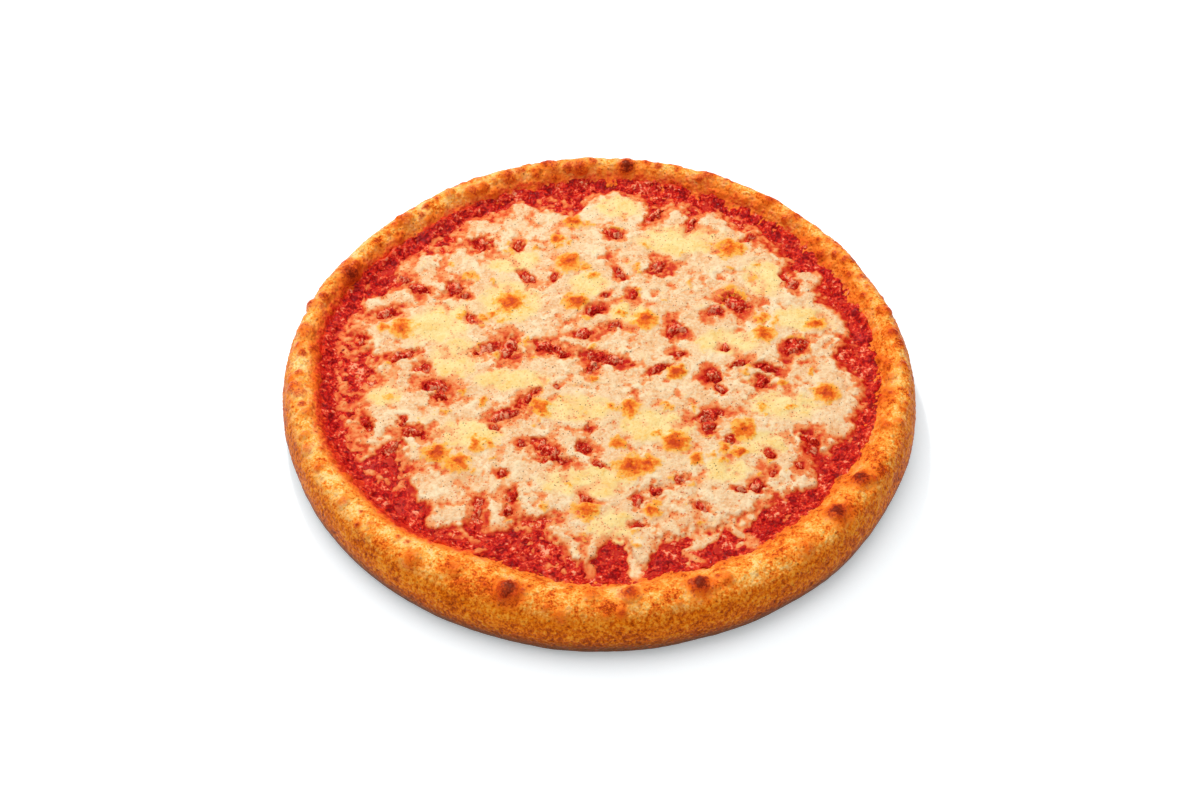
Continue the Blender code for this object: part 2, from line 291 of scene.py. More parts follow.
def new_material(name, **constants):
    """A material, its Principled shader with these constants set, and a wire to build on."""
    material = bpy.data.materials.new(name)
    material.use_nodes = True
    shader = material.node_tree.nodes["Principled BSDF"]
    for socket, value in constants.items():
        shader.inputs[socket.replace("_", " ")].default_value = value
    return material, shader, Wire(material.node_tree)


def feed(shader, wire, name):
    wire.tree.links.new(wire.socket, shader.inputs[name])


def relief(start, height, distance, under=None):
    """A Bump node for a height from 0 to 1 that stands for a real distance in metres."""
    sockets = {"Height": height, "Distance": distance}
    if under:
        sockets["Normal"] = under
    return start.node("ShaderNodeBump", None, sockets)


# %% [markdown]
# The rim of the crust is one smooth section, carried round the pizza while its width and height change a
# little. The quickest way to a fine, even mesh of it is to roll it up: a flat grid is added, its columns
# become angles and its rows become steps along the section, from under the base, up the wall, over the crest
# and down to the dough below the sauce.

# %% The crust's section
COLUMNS = 1260
RIM_OUTSIDE = [(0.74, 0.0), (0.42, 0.03), (0.17, 0.14), (0.04, 0.29), (0.0, 0.43), (0.06, 0.61), (0.26, 0.79),
               (0.58, 0.93), (1.0, 1.0)]
RIM_INSIDE = [(0.22, 0.96), (0.45, 0.80), (0.68, 0.48), (0.86, 0.20), (1.0, 0.0)]
CREST_SHARE = 0.43
UNDER_SAUCE = [(0.004, 0.0178), (0.010, 0.0158)]
STEP_ALONG = 0.00068
FINE_STEPS = 600
column_angles = np.arange(COLUMNS + 1) * 360 / COLUMNS


def section_knots():
    """The section's knots at every column: an array of columns by knots by (radius, height)."""
    outside, lip, crest = (at(column_angles, values) for values in (outer_edge, sauce_edge, crest_line))
    inward = CREST_SHARE * (outside - lip)
    knots = [(outside - inward * a, crest * b) for a, b in RIM_OUTSIDE]
    top = outside - inward
    knots += [(top + (lip - top) * a, LIP_HEIGHT + (crest - LIP_HEIGHT) * b) for a, b in RIM_INSIDE]
    knots += [(lip - inside, 0 * lip + height) for inside, height in UNDER_SAUCE]
    return np.array(knots).transpose(2, 0, 1)


def along_knots(knots, steps):
    """Smooth points on the curve through the knots, at fractional knot numbers."""
    count = knots.shape[1]
    first = np.clip(np.floor(steps).astype(int), 0, count - 2)
    t = (steps - first)[None, :, None]
    before, start, end, after = (knots[:, np.clip(first + k, 0, count - 1)] for k in (-1, 0, 1, 2))
    return 0.5 * (2 * start + (end - before) * t + (2 * before - 5 * start + 4 * end - after) * t ** 2
                  + (3 * start - before - 3 * end + after) * t ** 3)


knots = section_knots()
fine = np.linspace(0, knots.shape[1] - 1, FINE_STEPS)
mean_curve = along_knots(knots, fine).mean(axis=0)
travelled = np.concatenate([[0], np.cumsum(np.hypot(*np.diff(mean_curve, axis=0).T))])
rows_on_rim = round(travelled[-1] / STEP_ALONG)
rim = along_knots(knots, np.interp(np.linspace(0, travelled[-1], rows_on_rim), travelled, fine))
run = np.broadcast_to(np.linspace(0, travelled[-1], rows_on_rim), rim.shape[:2])
print("section length, mm:", round(travelled[-1] * 1000, 1), "in", rows_on_rim, "rows")

# %% [markdown]
# The baked surface is pushed out of that smooth form. Every blister could be sculpted by hand, but a list
# of them can still be changed later, so each place of the form moves along its own outward direction by a
# height that the script works out. The helpers here find those directions, and lay noise round the rim in
# whole cells, so that it closes after a full turn.

# %% Directions on the rim
RIM_MIDDLE = 0.142


def ring_cells(length):
    """How many cells of about this length go round the rim."""
    return round(2 * math.pi * RIM_MIDDLE / length)


def round_rim(function, length, seed):
    """One of the noise functions over the rim, in cells of about this length."""
    around = ring_cells(length)
    u = np.broadcast_to(column_angles[:, None] / 360 * around, run.shape)
    return function(u, run / length, seed, around)


def to_space(section):
    """Radius and height at every column, as places."""
    turn = np.radians(column_angles)[:, None]
    radius, height = section[..., 0], section[..., 1]
    return np.stack([radius * np.cos(turn), radius * np.sin(turn), height], axis=-1)


def outward_normals(places):
    """The outward direction of a surface at each of its places, which lie in columns and rows."""
    across = np.roll(places[:-1], -1, axis=0) - np.roll(places[:-1], 1, axis=0)
    across = np.concatenate([across, across[:1]])
    up_section = np.gradient(places, axis=1)
    normals = np.cross(across, up_section)
    return normals / np.linalg.norm(normals, axis=-1, keepdims=True)


places = to_space(rim)
normals = outward_normals(places)
crest_row = int(np.argmax(rim[..., 1].mean(axis=0)))
from_lip = np.abs(rim[..., 0] - at(column_angles, sauce_edge)[:, None]).mean(axis=0)
lip_row = int(np.argmin(from_lip[crest_row:])) + crest_row
print("crest row", crest_row, "lip row", lip_row, "of", rows_on_rim)

# %% [markdown]
# Blisters are bubbles that the heat of the oven blew up and scorched. The larger ones lie where the
# photograph shows them, each an angle, a radius, a width and how strongly it is scorched, and a seeded rule
# scatters small ones. Those behind the crest of the far side rise less, so that the outline stays as calm
# as it is in the photograph.

# %% Blisters
BLISTERS = [
    (154, 0.138, 0.010, 1.1), (135.7, 0.1396, 0.007, 0.7), (119, 0.1374, 0.007, 0.7),
    (116, 0.1446, 0.006, 0.6), (110.3, 0.140, 0.007, 0.8), (101.4, 0.144, 0.008, 0.9),
    (94.9, 0.1396, 0.008, 0.8), (84.9, 0.141, 0.008, 1.15), (67.8, 0.145, 0.008, 0.8),
    (71.2, 0.137, 0.004, 0.7), (64, 0.1378, 0.005, 0.6), (53.2, 0.1425, 0.006, 0.8),
    (37, 0.1418, 0.004, 0.6), (164.6, 0.1456, 0.007, 0.7), (171.8, 0.143, 0.008, 0.6),
    (186.3, 0.144, 0.007, 0.7), (191.2, 0.141, 0.004, 0.8), (201.7, 0.1439, 0.006, 0.5),
    (207, 0.1425, 0.004, 0.6), (216.7, 0.1418, 0.005, 0.5), (234.8, 0.142, 0.008, 0.4),
    (242.7, 0.137, 0.007, 0.4), (253.7, 0.1386, 0.010, 1.2), (268.9, 0.135, 0.006, 0.5),
    (275.8, 0.135, 0.008, 0.9), (288.9, 0.136, 0.009, 1.25), (310, 0.1416, 0.007, 0.4),
    (320.4, 0.138, 0.009, 1.15), (329.7, 0.1366, 0.008, 1.2), (346, 0.135, 0.005, 0.5),
    (4.7, 0.1336, 0.005, 0.5), (263.6, 0.145, 0.006, 0.4)]
SCATTERED = {"medium": (80, 0.0032, 0.0058), "small": (130, 0.0016, 0.0032)}
BLISTER_RISE = 0.25
CREST_RADIUS = 0.1412
RISE_BEHIND_CREST = 0.42


def scattered_blisters(count, smallest, largest):
    """Blisters by chance: most on the far half of the rim, few on the near half."""
    draw = np.random.default_rng(count)
    made = []
    while len(made) < count:
        angle = draw.uniform(0, 360)
        chance = 0.6 + 0.4 * math.sin(math.radians(angle))
        inner, outer = at(angle, sauce_edge), at(angle, outer_edge)
        radius = inner + (outer - inner) * draw.uniform(0.12, 0.80)
        width = draw.uniform(smallest, largest)
        strength = draw.uniform(0.35, 0.9)
        if draw.uniform() < chance:
            made.append((angle, radius, width, strength))
    return made


upper = slice(crest_row - 28, lip_row + 4)
blister = np.zeros(run.shape)
rise = np.zeros(run.shape)
crinkle, wrinkle = round_rim(rolling, 0.0026, 31), round_rim(rolling, 0.0012, 32)
scattered = [one for sizes in SCATTERED.values() for one in scattered_blisters(*sizes)]
for angle, radius, width, strength in BLISTERS + scattered:
    goal = np.array([*(unit(angle) * radius)])
    gap = np.linalg.norm(places[:, upper, :2] - goal, axis=-1)
    middle = places[:, upper][np.unravel_index(np.argmin(gap), gap.shape)]
    share = np.linalg.norm(places - middle, axis=-1) / (0.62 * width) + 0.16 * crinkle + 0.10 * wrinkle
    body = np.clip(1 - share ** 2, 0, 1)
    behind_crest = radius > CREST_RADIUS and 20 < angle < 160
    height = BLISTER_RISE * (RISE_BEHIND_CREST if behind_crest else 1.0)
    rise = np.maximum(rise, height * width * body ** 0.8)
    scorched = 0.50 * np.clip(1.8 - share, 0, 1) + 0.62 * (1 - smoothstep(0.20, 1.0, share))
    blister = np.maximum(blister, strength * scorched)
print("blisters:", len(BLISTERS), "placed and", len(scattered), "scattered")

# %% [markdown]
# Between the blisters the crust has broad swellings, small lumps, pits where gas escaped and, on the wall,
# a skin of fine crumbs. Each of them is a noise of its own size, because one noise with many octaves would
# roughen every part alike. The front and the right are darker than the back and the left, as they are in
# the photograph.

# %% Swellings, pits and crumbs
broad = round_rim(rolling, 0.013, 11)
lumps = round_rim(rolling, 0.0055, 12)
bubbles, bubble_number = round_rim(pebbles, 0.0062, 13)
bubble_dome = np.clip(1 - (bubbles / 0.6) ** 2, 0, 1) ** 0.8 * np.clip(2 * bubble_number - 0.7, 0, 1)
pore, pore_number = round_rim(pebbles, 0.0034, 14)
pit = np.clip(1 - (pore / 0.28) ** 2, 0, 1) * (pore_number > 0.72)
fine_lumps = round_rim(rolling, 0.0024, 15)
crumb, crumb_size = round_rim(pebbles, 0.0018, 16)
side = np.clip(1 - places[..., 2] / at(column_angles, crest_line)[:, None], 0, 1) * (run < run[0, crest_row])
crumbs = np.clip(1 - (crumb / 0.6) ** 2, 0, 1) * (0.3 + 0.7 * crumb_size)
crumbs *= (0.35 + 0.65 * smoothstep(0.02, 0.2, side)) * (1 - smoothstep(0.45, 0.75, side))
smooth_foot = 1 - 0.75 * smoothstep(0.02, 0.40, side)
rim_fade = smoothstep(0, 0.006, run) * (1 - smoothstep(travelled[-1] - 0.006, travelled[-1], run))
push = 0.00040 * broad + 0.00030 * lumps + 0.00050 * bubble_dome - 0.00045 * pit + 0.00016 * fine_lumps
push = push * smooth_foot + rise + 0.00045 * crumbs * np.clip(1 - blister, 0, 1)
# The tone is darker at the right and the front and paler at the back and the left.
darker_round_rim = np.interp(column_angles, (0, 90, 180, 270, 360), (0.40, -0.32, -0.22, 0.18, 0.40))[:, None]
knobs = np.clip(0.5 * bubble_dome + 0.7 * broad + 0.45 * lumps, -1, 1) + darker_round_rim
dough = places + normals * (push * rim_fade)[..., None]
dough[-1] = dough[0]
dough_top = dough[..., 2].max() * 1000
print("top of the dough, mm:", dough_top.round(1))

# %% [markdown]
# Sauce and its oil creep up the inner slope of the rim, most of all at the left. The finish needs only one
# number for that, how close a place is to the sauce, so it is kept for every place and turned into stains
# later.

# %% Stains beside the sauce
SAUCE_OVERLAP = 0.001 * np.interp(RING, (0, 110, 140, 170, 205), (2.2, 2.2, 0.9, 1.2, 2.2))
STAIN_REACH = 0.0080
smeared_on = np.interp(column_angles, (0, 60, 120, 165, 225, 255, 310, 340, 360),
                       (0.50, 0.70, 0.80, 1.02, 0.98, 0.60, 0.54, 0.50, 0.50))
reached = at(column_angles, sauce_edge + SAUCE_OVERLAP)[:, None]
past_sauce = np.linalg.norm(dough[..., :2], axis=-1) - reached
near_sauce = np.clip(1 - past_sauce / STAIN_REACH, 0, 1.1) * smeared_on[:, None] * (run > run[0, crest_row])
print("share of the crust that is stained:", (near_sauce > 0.5).mean().round(2))

# %% [markdown]
# The mesh is the grid primitive with every point sent to its place on the crust. Rings are added in the
# middle of the base and of the floor, so that both ends of the grid shrink to a point, and every point
# carries the values that its colour depends on. Merging the doubled points, there and where the grid's two
# sides meet, makes one closed body.

# %% The crust's mesh
FOOT_RINGS = (0.0, 0.5, 0.9)
FLOOR_RINGS = (0.75, 0.4, 0.0)
SMOOTH_BELOW = 75


def add_flat_rings(surface, before, after):
    """Rings inside the first one, under the base, and inside the last one, on the dough below the sauce."""
    under = [surface[:, :1] * np.array([share, share, 1.0]) for share in before]
    over = [surface[:, -1:] * np.array([share, share, 1.0]) for share in after]
    return np.concatenate(under + [surface] + over, axis=1)


def pad_rows(values, before, after):
    """The same rows for an attribute, with its end values repeated."""
    return np.concatenate([values[:, :1]] * before + [values] + [values[:, -1:]] * after, axis=1)


def select_only(piece):
    bpy.ops.object.select_all(action="DESELECT")
    piece.select_set(True)
    bpy.context.view_layer.objects.active = piece


def grid_piece(name, columns, rows, values):
    """A flat grid whose points take their places and attributes from arrays of columns by rows."""
    bpy.ops.object.select_all(action="DESELECT")
    bpy.ops.mesh.primitive_grid_add(x_subdivisions=columns - 1, y_subdivisions=rows - 1, size=2)
    piece = bpy.context.object
    piece.name = name
    flat = np.empty(3 * len(piece.data.vertices))
    piece.data.vertices.foreach_get("co", flat)
    flat = flat.reshape(-1, 3)
    column = np.rint((flat[:, 0] + 1) / 2 * (columns - 1)).astype(int)
    row = np.rint((flat[:, 1] + 1) / 2 * (rows - 1)).astype(int)
    for key, array in values.items():
        picked = array[column, row]
        if key == "places":
            piece.data.vertices.foreach_set("co", picked.astype(np.float32).ravel())
        else:
            layer = piece.data.attributes.new(key, "FLOAT", "POINT")
            layer.data.foreach_set("value", picked.astype(np.float32))
    piece.data.update()
    return piece


def finish_piece(piece, material, slot, *nodes):
    """Smooth shading, its material, and its place in the frame."""
    select_only(piece)
    bpy.ops.object.shade_smooth_by_angle(angle=math.radians(SMOOTH_BELOW))
    piece.data.materials.clear()
    piece.data.materials.append(material)
    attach(piece, "root")
    if nodes:
        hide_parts(*nodes)
    print(piece.name, "has", len(piece.data.polygons), "faces")


crust_values = {"blister": blister, "pit": pit, "stain": near_sauce,
                "side": side, "crumb": crumbs, "knob": knobs}
pads = len(FOOT_RINGS), len(FLOOR_RINGS)
all_rings = add_flat_rings(dough, FOOT_RINGS, FLOOR_RINGS)
all_values = {key: pad_rows(value, *pads) for key, value in crust_values.items()}
crust = grid_piece("baked_crust", COLUMNS + 1, all_rings.shape[1], {"places": all_rings, **all_values})
select_only(crust)
bpy.ops.object.mode_set(mode="EDIT")
bpy.ops.mesh.select_all(action="SELECT")
bpy.ops.mesh.remove_doubles(threshold=1e-6)
bpy.ops.mesh.normals_make_consistent(inside=False)
bpy.ops.object.mode_set(mode="OBJECT")

# %% [markdown]
# Baked dough is golden where it is thin-skinned and pale in the folds, and goes through orange to red-brown
# where a blister stood close to the heat. Down the wall it darkens evenly towards a dark foot, partly real
# browning and partly painted shade of the lower wall, with a painted contact shadow at the foot. Fine
# bubbles give its skin the look of sand, and the gaps between its grains are painted darker as shade. Oil
# from the sauce stains the inner slope orange, and sauce smears it red at the left. A picture of a crust
# wrapped round the rim would be quicker, but it would bring its own light and repeat, so noises of several
# sizes choose a tone and colour ramps turn the tone into tints.

# %% The crust's finish
baked, shader, start = new_material("baked_dough", Roughness=0.5,
                                    Specular_IOR_Level=0.12, Specular_Tint=srgb(255, 206, 140))
mottle = start.noise(0.008, 4.0, 0.65)
fine_mottle = start.noise(0.0022, 4.0, 0.70, 2.0)
grain = start.grains(0.0019)
sand = start.noise(0.0009, 2.0, 0.6, 4.0)
speck = start.grains(0.0030)
specked = speck.step(0.22, 0.10) * start.noise(0.010, 2.0, 0.6, 5.0).step(0.42, 0.60)
down, stain, knob = (start.attribute(name) for name in ("side", "stain", "knob"))
uneven = (mottle - 0.5) * 1.6 + (fine_mottle - 0.5) * 1.3 + (sand - 0.5) * 1.4
# The tone falls away from each grain's middle: painted shade in the gaps between grains.
tone = uneven - knob * 0.36 - grain * 0.26 + 0.79
skin = start.node("ShaderNodeValToRGB", {"stops": [
    (0.04, srgb(176, 56, 8)), (0.24, srgb(230, 94, 18)), (0.44, srgb(250, 134, 36)),
    (0.62, srgb(255, 166, 64)), (0.80, srgb(255, 196, 100)), (0.97, srgb(255, 216, 142))]}, {"Fac": tone})
# Crumbs are lighter, like cornmeal, and the tone falls in the gaps between grains as painted shade.
crumb_tone = start.attribute("crumb") * 0.28 + (sand - 0.5) * 1.1 - grain * 0.40
# Down the wall the tone falls towards the foot: partly real browning, partly painted shade of the lower wall.
side_tone = (mottle - 0.5) * 0.9 + (fine_mottle - 0.5) * 1.0 + crumb_tone - down * 0.40 + 0.84
wall = start.node("ShaderNodeValToRGB", {"stops": [
    (0.05, srgb(112, 34, 0)), (0.28, srgb(170, 66, 2)), (0.48, srgb(212, 94, 4)), (0.68, srgb(240, 126, 14)),
    (0.95, srgb(254, 166, 52))]}, {"Fac": side_tone})
sided = start.mix((down + (mottle - 0.5) * 0.15).step(0.0, 0.20), skin, wall)
# Darker low on the wall and darkest at the foot: partly real browning, partly painted shade and a painted
# contact shadow where the crust meets the floor.
browned_and_shaded = start.mix((down + (mottle - 0.5) * 0.2).step(0.40, 0.82) * 0.96, sided, srgb(102, 50, 0))
foot_browned_and_shaded = start.mix(down.step(0.78, 0.94) * 0.85, browned_and_shaded, srgb(52, 26, 0))
smear = stain + (mottle - 0.5) * 0.9 + (fine_mottle - 0.5) * 1.1
oily = start.mix(smear.step(0.26, 0.74) * 0.78, foot_browned_and_shaded, srgb(254, 126, 42))
stained = start.mix(smear.step(0.62, 0.92) * 0.9, oily, srgb(238, 74, 36))
smeared = start.mix(smear.step(0.86, 1.10) * 0.92, stained, srgb(196, 16, 14))
spotty = (fine_mottle - 0.5) * 1.1 + (sand - 0.5) * 1.3 + (mottle - 0.5) * 0.3
toasted = start.attribute("blister") + spotty - 0.06
blush = start.mix(toasted.step(0.10, 0.50) * 0.75, smeared, srgb(240, 104, 22))
brown = start.mix(toasted.step(0.42, 0.90) * 0.92, blush, srgb(196, 58, 20))
dark = start.mix(toasted.step(0.85, 1.25) * 0.9, brown, srgb(108, 22, 10))
pitted = start.mix(start.attribute("pit") * 0.55, dark, srgb(186, 66, 14))
freckled = start.mix(specked * (1 - down.step(0.3, 0.7)) * 0.7, pitted, srgb(140, 50, 14))
feed(shader, freckled, "Base Color")
blistered = start.attribute("blister").clamp()
grain_height = (grain.step(0.7, 0.0) * 0.8 + fine_mottle * 0.8) * (1 - blistered * 0.5)
feed(shader, relief(start, grain_height, 0.0005, relief(start, mottle, 0.0008)), "Normal")
feed(shader, 0.44 - blistered * 0.18 + down * 0.1, "Roughness")
finish_piece(crust, baked, "crust", "crust")

# %% [markdown]
# Sauce and cheese share one plan: a square grid of places, each with its distance and its angle from the
# middle. Two sheets modelled apart would poke through each other by chance, but over one plan the script
# always knows which of them is on top.

# %% The plan of the toppings
CELL = 0.0006
SPAN = 228
axis = np.arange(-SPAN, SPAN + 1) * CELL
X, Y = np.meshgrid(axis, axis, indexing="ij")
R = np.hypot(X, Y)
A = np.degrees(np.arctan2(Y, X)) % 360
print("places in the plan:", R.size)

# %% [markdown]
# The photograph shows where the cheese tore open, where it pooled smoothly and where it toasted. Each
# window, bay and pool is kept as an oval: the x and y of its middle, its length, its width and its
# direction. A toasted spot is a middle and a width, and a tongue is an oval of thin cheese in the sauce,
# with its strength.

# %% What the photograph shows of the cheese
WINDOWS = [
    (-0.053, 0.017, 0.013, 0.005, 25), (-0.044, 0.018, 0.013, 0.007, 95),
    (-0.025, 0.018, 0.012, 0.007, -15), (-0.018, 0.014, 0.009, 0.005, -40),
    (0.002, 0.011, 0.022, 0.006, -15), (-0.004, 0.005, 0.008, 0.006, 70), (-0.003, 0.043, 0.009, 0.006, 20),
    (-0.008, 0.027, 0.009, 0.005, 10), (0.006, 0.032, 0.008, 0.005, 0), (-0.037, 0.066, 0.010, 0.004, -50),
    (-0.023, 0.065, 0.006, 0.003, 60), (-0.060, 0.088, 0.010, 0.008, 0), (-0.042, 0.088, 0.008, 0.004, 90),
    (-0.072, 0.057, 0.010, 0.007, 70), (-0.090, 0.056, 0.012, 0.005, -20),
    (-0.098, 0.062, 0.010, 0.005, 10), (-0.067, 0.052, 0.005, 0.003, 0), (-0.063, 0.036, 0.007, 0.004, -60),
    (-0.104, 0.040, 0.012, 0.006, 20), (-0.116, 0.022, 0.008, 0.006, 90), (-0.095, 0.012, 0.014, 0.004, 20),
    (-0.084, 0.004, 0.006, 0.006, 45), (-0.078, -0.008, 0.013, 0.007, -10),
    (-0.075, -0.014, 0.007, 0.007, 0), (-0.118, 0.003, 0.009, 0.006, -30),
    (-0.113, -0.002, 0.010, 0.006, -50), (-0.108, -0.006, 0.005, 0.004, 0),
    (0.028, 0.073, 0.008, 0.007, 70), (0.006, 0.097, 0.009, 0.006, -20), (0.009, 0.068, 0.008, 0.004, -60),
    (0.016, 0.055, 0.006, 0.004, 70), (0.002, 0.053, 0.005, 0.003, 30), (0.027, 0.111, 0.013, 0.006, 55),
    (0.045, 0.104, 0.010, 0.004, 60), (0.066, 0.048, 0.014, 0.008, -20), (0.056, 0.043, 0.008, 0.006, 30),
    (0.093, 0.064, 0.012, 0.005, -75), (0.035, 0.030, 0.008, 0.006, 60), (0.038, 0.032, 0.010, 0.004, -50),
    (0.094, 0.020, 0.012, 0.008, 50), (0.037, 0.014, 0.006, 0.005, -30), (0.028, 0.004, 0.010, 0.004, 20),
    (0.053, 0.000, 0.008, 0.008, -50), (0.057, -0.008, 0.005, 0.004, -40), (0.066, 0.008, 0.010, 0.003, 25),
    (0.079, 0.006, 0.012, 0.005, -30), (0.077, -0.003, 0.007, 0.006, 60), (0.060, 0.018, 0.005, 0.003, 0),
    (0.076, 0.094, 0.009, 0.003, 10), (0.117, 0.015, 0.008, 0.006, 90), (-0.108, -0.032, 0.010, 0.004, -60),
    (-0.092, -0.030, 0.004, 0.004, 0), (-0.086, -0.037, 0.011, 0.007, -10),
    (-0.095, -0.046, 0.012, 0.005, 35), (-0.045, -0.026, 0.018, 0.005, 15),
    (-0.034, -0.015, 0.014, 0.004, 50), (-0.049, -0.034, 0.005, 0.004, 0),
    (-0.025, -0.046, 0.014, 0.008, -40), (-0.020, -0.053, 0.016, 0.004, -10),
    (-0.007, -0.046, 0.008, 0.006, -20), (-0.036, -0.043, 0.004, 0.004, 0),
    (0.000, -0.056, 0.008, 0.003, -20), (-0.039, -0.074, 0.008, 0.005, 90),
    (-0.041, -0.083, 0.005, 0.004, 90), (-0.044, -0.061, 0.004, 0.004, 0),
    (-0.055, -0.084, 0.016, 0.005, 80), (-0.028, -0.089, 0.014, 0.004, 15),
    (-0.024, -0.104, 0.008, 0.007, 0), (-0.005, -0.034, 0.005, 0.004, 40),
    (-0.020, -0.007, 0.003, 0.003, 0), (-0.006, -0.075, 0.008, 0.003, -30),
    (0.050, -0.025, 0.014, 0.006, 20), (0.051, -0.032, 0.007, 0.006, -80), (0.078, -0.048, 0.005, 0.005, 0),
    (0.079, -0.059, 0.004, 0.004, 0), (0.072, -0.067, 0.007, 0.005, 20), (0.064, -0.069, 0.004, 0.003, 0),
    (0.098, -0.042, 0.014, 0.006, -75), (0.061, -0.040, 0.005, 0.004, 60),
    (0.037, -0.064, 0.006, 0.005, 60), (0.026, -0.070, 0.006, 0.005, 0), (0.017, -0.076, 0.007, 0.005, 90),
    (0.046, -0.080, 0.008, 0.004, -20), (0.018, -0.090, 0.006, 0.003, 0), (0.092, -0.055, 0.005, 0.004, 90)]
BAYS = [
    (-0.043, -0.104, 0.022, 0.016, 60), (0.004, -0.111, 0.018, 0.020, 0), (0.031, -0.109, 0.026, 0.013, 51),
    (0.052, -0.103, 0.026, 0.010, 38), (0.077, -0.090, 0.030, 0.014, 45), (0.098, -0.066, 0.024, 0.011, 52),
    (-0.082, -0.080, 0.030, 0.014, 125), (-0.100, -0.052, 0.020, 0.010, 115),
    (-0.108, 0.060, 0.024, 0.008, 60)]
POOLS = [
    (-0.078, 0.032, 0.030, 0.022, 20), (-0.070, 0.010, 0.020, 0.026, 0), (-0.044, 0.048, 0.028, 0.024, 0),
    (-0.044, 0.076, 0.024, 0.014, 10), (0.008, 0.116, 0.022, 0.014, 0), (0.040, 0.092, 0.038, 0.020, 0),
    (-0.006, 0.060, 0.018, 0.016, 0), (0.014, 0.041, 0.018, 0.014, 0), (0.062, 0.022, 0.030, 0.014, 0),
    (0.098, 0.038, 0.026, 0.014, 0), (0.080, 0.066, 0.018, 0.022, 0), (-0.042, -0.004, 0.032, 0.013, 0),
    (-0.102, -0.014, 0.016, 0.014, 0), (-0.060, -0.038, 0.026, 0.016, 0), (-0.012, -0.022, 0.032, 0.015, 0),
    (0.026, -0.032, 0.032, 0.018, 0), (0.086, -0.018, 0.030, 0.016, 0), (0.076, -0.042, 0.020, 0.014, 0),
    (-0.006, -0.066, 0.036, 0.018, 0), (0.006, -0.092, 0.018, 0.018, 0), (0.058, -0.058, 0.020, 0.014, 0)]
TOASTED = [
    (-0.044, 0.047, 0.010), (-0.066, 0.066, 0.004), (-0.023, 0.092, 0.005), (-0.014, 0.104, 0.006),
    (-0.016, 0.075, 0.009), (-0.016, 0.088, 0.003), (-0.096, 0.028, 0.008), (-0.105, 0.029, 0.004),
    (-0.057, 0.035, 0.004), (-0.012, 0.048, 0.008), (0.065, 0.087, 0.009), (0.022, 0.036, 0.008),
    (0.105, 0.034, 0.006), (0.094, 0.020, 0.008), (0.078, 0.038, 0.005), (0.079, 0.027, 0.007),
    (0.022, 0.088, 0.003), (0.078, 0.075, 0.003), (0.075, 0.067, 0.003), (0.100, 0.003, 0.003),
    (0.007, 0.098, 0.005), (0.017, 0.055, 0.004), (0.064, 0.052, 0.009), (-0.065, -0.056, 0.008),
    (-0.075, -0.050, 0.008), (-0.057, -0.045, 0.005), (-0.029, -0.021, 0.007), (-0.055, -0.017, 0.004),
    (-0.050, -0.045, 0.004), (-0.026, -0.027, 0.004), (-0.006, -0.083, 0.008), (0.009, -0.043, 0.005),
    (-0.003, -0.003, 0.004), (0.035, -0.042, 0.009), (0.027, -0.037, 0.004), (0.014, -0.021, 0.007),
    (0.067, -0.034, 0.008), (0.107, -0.011, 0.008), (0.022, -0.055, 0.007), (0.015, -0.057, 0.010),
    (0.045, -0.052, 0.005), (0.057, -0.045, 0.004), (0.064, -0.048, 0.005), (0.024, -0.083, 0.005),
    (0.036, 0.002, 0.006)]
TONGUES = [
    (0.016, -0.114, 0.018, 0.006, 98, 0.8), (0.046, -0.0995, 0.022, 0.005, 34, 0.8),
    (0.062, -0.093, 0.010, 0.004, 124, 1.0), (0.068, -0.100, 0.014, 0.007, 110, 0.45),
    (0.0425, -0.1075, 0.013, 0.006, 125, 0.45), (-0.053, -0.106, 0.007, 0.005, 60, 0.6),
    (0.0845, -0.085, 0.006, 0.004, 40, 0.4), (-0.004, -0.116, 0.010, 0.005, 90, 0.5),
    (-0.091, -0.068, 0.010, 0.004, 50, 0.5)]
print("windows:", len(WINDOWS), "bays:", len(BAYS), "pools:", len(POOLS), "toasted spots:", len(TOASTED))

# %% [markdown]
# Clean ovals would look stamped out, so noise moves the places before the ovals are laid on them, and their
# edges come out ragged. Every kind of feature becomes one field over the plan, 0 where there is none of it.

# %% Fields over the plan
SMALL_TOASTED = 110
TOASTED_AREA = 0.105


def rolling_at(length, seed):
    """Smooth noise over the plan, its waves about this long."""
    return rolling(X / length, Y / length, seed)


def oval_share(oval, x, y):
    """0 at an oval's middle, 1 on its edge, more outside."""
    middle_x, middle_y, length, width, direction = oval
    along = unit(direction)
    forward_share = ((x - middle_x) * along.x + (y - middle_y) * along.y) / (length / 2)
    sideways_share = ((y - middle_y) * along.x - (x - middle_x) * along.y) / (width / 2)
    return np.hypot(forward_share, sideways_share)


warp_x = X + 0.0013 * rolling_at(0.006, 41) + 0.0007 * rolling_at(0.0024, 42)
warp_y = Y + 0.0013 * rolling_at(0.006, 43) + 0.0007 * rolling_at(0.0024, 44)
edge_noise = 0.0026 * rolling_at(0.0085, 45) + 0.0022 * rolling_at(0.0032, 46)
from_edge = at(A, cheese_edge) + 0.0010 - R + edge_noise
window, halo = np.zeros(R.shape), np.zeros(R.shape)
torn_x, torn_y = warp_x + 0.0009 * rolling_at(0.0036, 77), warp_y + 0.0009 * rolling_at(0.0036, 78)
for oval in WINDOWS:
    share = oval_share(oval, torn_x, torn_y)
    window = np.maximum(window, np.clip(1.5 - share, 0, 1.5) / 1.5)
    halo = np.maximum(halo, np.clip(2.7 - share, 0, 2.7) / 2.7)
bay = np.zeros(R.shape)
for oval in BAYS:
    bay = np.maximum(bay, 1 - smoothstep(0.7, 1.4, oval_share(oval, warp_x, warp_y)))
pool = np.zeros(R.shape)
for oval in POOLS:
    pool = np.maximum(pool, 1 - smoothstep(0.50, 1.55, oval_share(oval, warp_x, warp_y)))
toast = np.zeros(R.shape)
